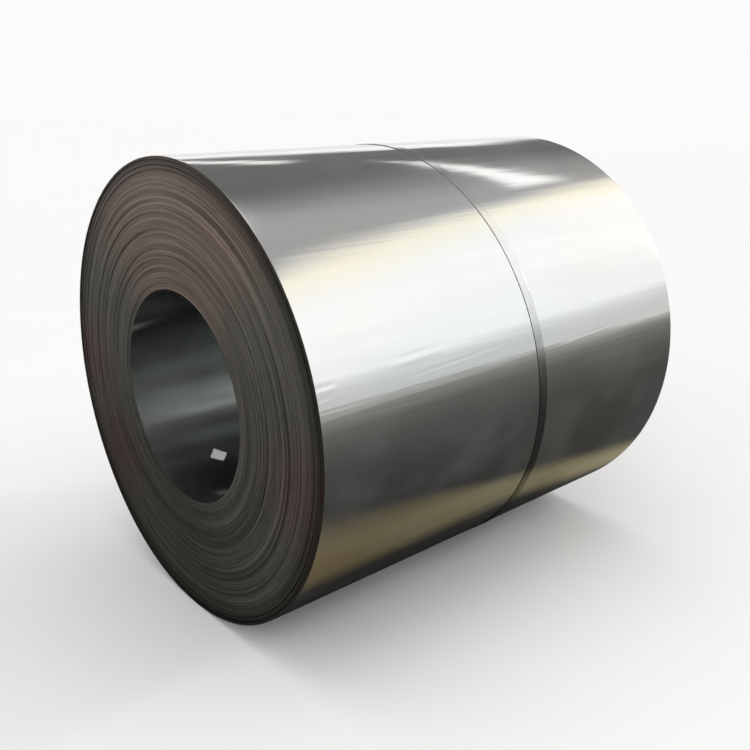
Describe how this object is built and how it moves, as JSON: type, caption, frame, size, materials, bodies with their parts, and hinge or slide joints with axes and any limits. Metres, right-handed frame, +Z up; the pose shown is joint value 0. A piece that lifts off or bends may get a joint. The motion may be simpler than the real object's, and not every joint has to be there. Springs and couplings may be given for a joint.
{
  "type": "steel coil",
  "caption": "Coil of cold-rolled steel sheet lying with its eye level, with a round bore for a mandrel or C-hook and a flat steel strap round its belly.",
  "frame": {"origin": "on the floor under the middle of the coil, at the lowest point of the strap", "axes": "+Y along the eye, away from the end with the label; +Z up; +X to the right seen from the end with the label"},
  "size_m": [1.1024, 1.2, 1.1024],
  "materials": {
    "rolled_steel": "bright cold-rolled skin, dull dark edges on the ends",
    "strap_steel": "plain bare strapping",
    "seal_steel": "crimped bare steel",
    "label_paper": "matt paper"
  },
  "bodies": {
    "root": {"coil": "rolled_steel", "strap": "strap_steel", "strap_seal": "seal_steel", "label": "label_paper"}
  },
  "joints": []
}
